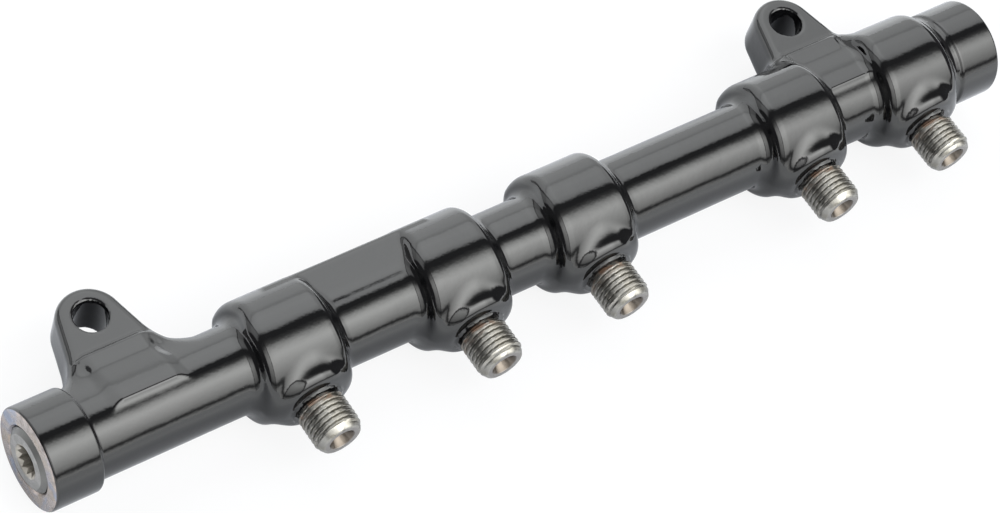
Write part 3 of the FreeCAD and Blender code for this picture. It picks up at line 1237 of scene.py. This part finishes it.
@dataclass
class Outlet:
    """The threaded end of an outlet: undercut, helical thread, chamfered tip, cone seat and drilling."""

    number: int
    station: float
    root: float = 15.2
    neck_reach: float = 16.4
    reach: float = 26.9
    radius: float = 6.0
    undercut_radius: float = 5.0
    undercut_end: float = 17.0
    pitch: float = 1.31
    depth: float = 0.6
    chamfer: float = 1.1
    chamfer_run: float = 1.9
    seat_radius: float = 3.3
    seat_half_angle: float = math.radians(30.0)
    bore_radius: float = 1.25
    drilling_depth: float = 1.6
    rings_per_turn: int = 18
    crest_half: float = 0.26
    flank: float = 0.36
    rounding: float = 0.1
    fade: float = 0.5
    margin: float = 0.15
    turn_step: float = 0.31
    shoulder: float = 0.6
    chamfer_rings: tuple[float, float, int] = (0.1, 0.9, 9)
    tip_bevel: Pair = (0.08, 0.02)
    face_rings: Pair = (0.7, 0.12)
    cone_rings: Triple = (0.33, 0.66, 1.0)
    rim: float = 0.1
    sides: int = 80

    def thread(self, reach: np.ndarray, radius: np.ndarray, angle: np.ndarray) -> np.ndarray:
        """Cut the thread into the outer side.

        Args:
            reach: distances from the rail's axis.
            radius: the plain profile's radii.
            angle: angles round the outlet.

        Returns:
            The radii with the thread.
        """
        turn = reach / self.pitch - angle / (2 * math.pi) + self.turn_step * self.number
        ridge = np.abs(2 * (turn % 1.0) - 1)
        groove = np.clip((ridge - self.crest_half) / self.flank, 0, 1)
        groove = groove - self.rounding * np.sin(2 * math.pi * groove) / math.pi
        fade = np.clip((reach - self.undercut_end) / self.fade, 0, 1)
        limit = self.radius - self.depth * groove * fade
        outer = (radius > self.undercut_radius - self.margin) & (reach > self.neck_reach)
        return np.where(outer, np.minimum(radius, limit), radius)

    def build(self, palette: Palette) -> bpy.types.Object:
        """Turn and thread the outlet's end.

        Args:
            palette: the finishes.

        Returns:
            The object.
        """
        chamfer_start = self.reach - self.chamfer_run
        turns = (chamfer_start - self.undercut_end) / self.pitch
        shoulder = self.shoulder * (self.radius - self.undercut_radius)
        thread_start = (self.undercut_end + shoulder, self.radius)
        profile = [(self.root, 0.0), (self.root, self.undercut_radius)]
        profile += [(self.neck_reach, self.undercut_radius), (self.undercut_end, self.undercut_radius)]
        profile += level_line(thread_start, (chamfer_start, self.radius), int(turns * self.rings_per_turn))
        profile += [
            (chamfer_start + share * self.chamfer_run, self.radius - share * self.chamfer)
            for share in np.linspace(*self.chamfer_rings)
        ]
        tip = self.radius - self.chamfer
        back, out = self.tip_bevel
        profile += [(self.reach - back, tip + out), (self.reach, tip - self.rim)]
        profile += [(self.reach, self.seat_radius + ring) for ring in self.face_rings]
        cone_start = self.reach - self.rim
        fall = self.bore_radius - self.seat_radius
        cone_run = (self.seat_radius - self.bore_radius) / math.tan(self.seat_half_angle)
        profile += [
            (cone_start - share * cone_run, self.seat_radius + share * fall)
            for share in (0.0, *self.cone_rings)
        ]
        drilling_end = self.root + self.drilling_depth
        profile += [(drilling_end, self.bore_radius), (drilling_end, 0.0)]
        points, faces, _ = Turning(np.array(profile), self.sides, self.thread).build(across=True)
        origin = RAIL_ORIGIN + Vector((self.station, 0.0, 0.0))
        piece = Piece(f"outlet_{self.number}", points, faces, (Finish.THREAD,), origin=origin)
        return piece.place(palette, Slot.STEEL)


@dataclass
class ClosingPlug:
    """The screwed plug, which keeps its exact solid and gets its finish."""

    node: str = "end_plug"

    def dress(self, palette: Palette) -> None:
        """Give the node its steel.

        Args:
            palette: the finishes.
        """
        solid = bpy.data.objects[self.node]
        for place in solid.material_slots:
            place.material = palette.materials[Finish.PLUG]
        LOG.info("%s: dressed", self.node)


# Studio


def fill_ramp(ramp: bpy.types.ColorRamp, stops: Sequence[tuple[float, Sequence[float]]]) -> None:
    """Give a colour ramp its stops.

    Args:
        ramp: the ramp.
        stops: each stop's position and colour, in order.
    """
    for element in list(ramp.elements)[1:]:
        ramp.elements.remove(element)
    for number, (position, colour) in enumerate(stops):
        element = ramp.elements.new(position) if number else ramp.elements[0]
        element.position = position
        element.color = (*colour, 1.0)


@dataclass(frozen=True)
class StudioLight:
    """Soft boxes as a surround: their light by the angle round the rail, front to back.

    Each stop is (degrees up from the front horizon, light). Each share is (direction along the rail,
    from -1 to 1, part of the boxes' light), and the room gives the rest.
    """

    stops: Sequence[Pair] = (
        (0.0, 2.3), (3.0, 2.0), (6.0, 1.3), (10.0, 0.3), (13.0, 0.35), (16.0, 1.2), (18.0, 2.1), (21.0, 2.7),
        (27.0, 3.4), (33.0, 4.0), (40.0, 4.7), (46.0, 5.3), (52.0, 6.0), (58.0, 6.5), (64.0, 6.0),
        (70.0, 4.8), (73.0, 4.0), (76.0, 3.1), (79.0, 1.9), (82.0, 0.9), (85.0, 0.45), (91.0, 0.15),
        (101.0, 0.15),
        (103.0, 0.9), (106.0, 2.4), (109.0, 2.9), (115.0, 3.3), (133.0, 3.3), (145.0, 2.9), (149.0, 2.1),
        (157.0, 2.4), (180.0, 1.8),
    )
    shares: Sequence[Pair] = (
        (-0.82, 0.0), (-0.76, 0.4), (-0.4, 0.5), (-0.36, 0.48), (-0.335, 0.07), (-0.29, 0.07), (-0.255, 0.93),
        (0.44, 1.0), (0.5, 0.89), (0.57, 0.76), (0.64, 0.7), (0.78, 0.7), (0.85, 0.0),
    )
    brightest: float = 8.0
    power: float = 1.26
    zenith: float = 90.0
    front_tint: Triple = (1.0, 1.01, 0.99)
    rear_tint: Triple = (0.93, 0.95, 0.955)
    room: Colour = (0.15, 0.15, 0.155, 1.0)
    backdrop: Colour = (1.0, 1.0, 1.0, 1.0)

    def band(self, angle: float, light: float) -> tuple[float, tuple[float, ...]]:
        """Give the ramp's stop, its position and colour, for a light at an angle."""
        tint = self.front_tint if angle < self.zenith else self.rear_tint
        return angle / 180.0, tuple(light / self.brightest * part for part in tint)

    def build(self) -> bpy.types.World:
        """Make the surround.

        Returns:
            The world.
        """
        world = bpy.data.worlds.new("surround")
        world.use_nodes = True
        graph = Graph(world.node_tree)
        place = graph.add("ShaderNodeTexCoord").outputs["Generated"]
        split = graph.add("ShaderNodeSeparateXYZ", {0: place})
        front = graph.math("MULTIPLY", split.outputs["Y"], -1.0)
        turn = graph.math("ARCTAN2", graph.math("MAXIMUM", split.outputs["Z"], 0.0), front)
        bands = graph.add("ShaderNodeValToRGB", {0: graph.math("DIVIDE", turn, math.pi)})
        fill_ramp(bands.color_ramp, [self.band(*stop) for stop in self.stops])
        along = graph.math("MULTIPLY_ADD", split.outputs["X"], 0.5, 0.5)
        share = graph.add("ShaderNodeValToRGB", {0: along})
        fill_ramp(share.color_ramp, [((way + 1.0) / 2.0, (part,) * 3) for way, part in self.shares])
        strength = self.brightest * self.power
        lit = graph.add("ShaderNodeBackground", {"Color": bands.outputs[0], "Strength": strength})
        room = graph.add("ShaderNodeBackground", {"Color": self.room, "Strength": 1.0})
        plain = graph.add("ShaderNodeBackground", {"Color": self.backdrop, "Strength": 1.0})
        boxes = graph.add("ShaderNodeMixShader", {0: share.outputs[0], 1: room.outputs[0], 2: lit.outputs[0]})
        seen = graph.add("ShaderNodeLightPath").outputs["Is Camera Ray"]
        whole = graph.add("ShaderNodeMixShader", {0: seen, 1: boxes.outputs[0], 2: plain.outputs[0]})
        graph.add("ShaderNodeOutputWorld", {"Surface": whole.outputs[0]})
        return world


@dataclass
class Studio:
    """A pale floor with a painted shadow under the rail, the soft light and the camera."""

    light: StudioLight = StudioLight()
    floor_half: float = 6.0
    floor_gap: float = 0.0004
    floor_colour: Colour = (0.82, 0.83, 0.85, 1.0)
    # A darker floor colour beneath the rail, a painted shadow; the shaded_ values give its half width, fade
    # and steepness past the plug end
    floor_painted_shadow: Colour = (0.46, 0.47, 0.5, 1.0)
    shaded_half: float = 0.02
    shaded_end: float = 0.09
    floor_lift: float = 0.87
    shaded_steep: float = 4.0
    lens: float = 117.86
    sensor: float = 36.0
    clip: Pair = (0.01, 100.0)
    azimuth: float = math.radians(52.09)
    elevation: float = math.radians(53.28)
    roll: float = math.radians(21.96)
    camera_place: Triple = (-0.37085, -0.3110, 0.6303)

    def build(self) -> None:
        """Set up the floor, the light and the camera."""
        self.lay_floor()
        bpy.context.scene.world = self.light.build()
        bpy.context.scene.view_settings.view_transform = "Standard"
        self.aim_camera()

    def lay_floor(self) -> None:
        """Lay the pale floor just under the rail, with a painted shadow: darker beneath the rail's length."""
        low = CAD_BOX[0][2] - self.floor_gap
        half = self.floor_half
        corners = [(-half, -half, low), (half, -half, low), (half, half, low), (-half, half, low)]
        mesh = bpy.data.meshes.new("floor")
        mesh.from_pydata(corners, [], [(0, 1, 2, 3)])
        material = bpy.data.materials.new("floor")
        material.use_nodes = True
        graph = Graph(material.node_tree)
        place = graph.add("ShaderNodeTexCoord").outputs["Object"]
        split = graph.add("ShaderNodeSeparateXYZ", {0: place})
        # Painted shadow: the floor is darker near the line under the rail and fades out beyond it and past
        # the plug end
        across = graph.math("ABSOLUTE", graph.math("SUBTRACT", split.outputs["Y"], RAIL_ORIGIN.y * MM))
        before = graph.math("SUBTRACT", RAIL_ORIGIN.x * MM, split.outputs["X"])
        beyond = graph.math("MULTIPLY_ADD", before, self.shaded_steep, self.shaded_half)
        away = graph.math("MAXIMUM", across, beyond)
        clear = graph.ramp(away, self.shaded_half, self.shaded_end)
        colour = graph.mix(clear, self.floor_painted_shadow, self.floor_colour)
        pale = graph.add("ShaderNodeBsdfDiffuse", {"Color": colour})
        white = graph.add("ShaderNodeEmission", {"Strength": 1.0})
        lift = {0: self.floor_lift, 1: pale.outputs[0], 2: white.outputs[0]}
        lifted = graph.add("ShaderNodeMixShader", lift)
        seen = graph.add("ShaderNodeLightPath").outputs["Is Camera Ray"]
        whole = graph.add("ShaderNodeMixShader", {0: seen, 1: pale.outputs[0], 2: lifted.outputs[0]})
        graph.add("ShaderNodeOutputMaterial", {"Surface": whole.outputs[0]})
        mesh.materials.append(material)
        floor = bpy.data.objects.new("floor", mesh)
        bpy.context.scene.collection.objects.link(floor)

    def aim_camera(self) -> None:
        """Set the camera at the photograph's angle."""
        camera = bpy.data.cameras.new("camera")
        camera.lens = self.lens
        camera.sensor_width = self.sensor
        camera.sensor_fit = "HORIZONTAL"
        camera.clip_start, camera.clip_end = self.clip
        turn, tilt = self.azimuth, self.elevation
        level = math.cos(tilt)
        forward = Vector((math.sin(turn) * level, math.cos(turn) * level, -math.sin(tilt)))
        right = forward.cross(Vector((0, 0, 1))).normalized()
        down = forward.cross(right)
        cosine, sine = math.cos(self.roll), math.sin(self.roll)
        rows = (cosine * right - sine * down, -(sine * right + cosine * down), -forward)
        viewer = bpy.data.objects.new("camera", camera)
        viewer.matrix_world = Matrix.Translation(self.camera_place) @ Matrix(rows).transposed().to_4x4()
        bpy.context.scene.collection.objects.link(viewer)
        bpy.context.scene.camera = viewer


def main() -> None:
    """Build every piece, the studio and the camera."""
    logging.basicConfig(level=logging.INFO, format="%(name)s %(message)s")
    palette = Palette()
    palette.fill()
    Studio().build()
    Forging().build(palette)
    PlugCollar().build(palette)
    PortCollar().build(palette)
    for number, station in enumerate(OUTLET_STATIONS, start=1):
        Outlet(number, station).build(palette)
    ClosingPlug().dress(palette)


if __name__ == "__main__":
    main()
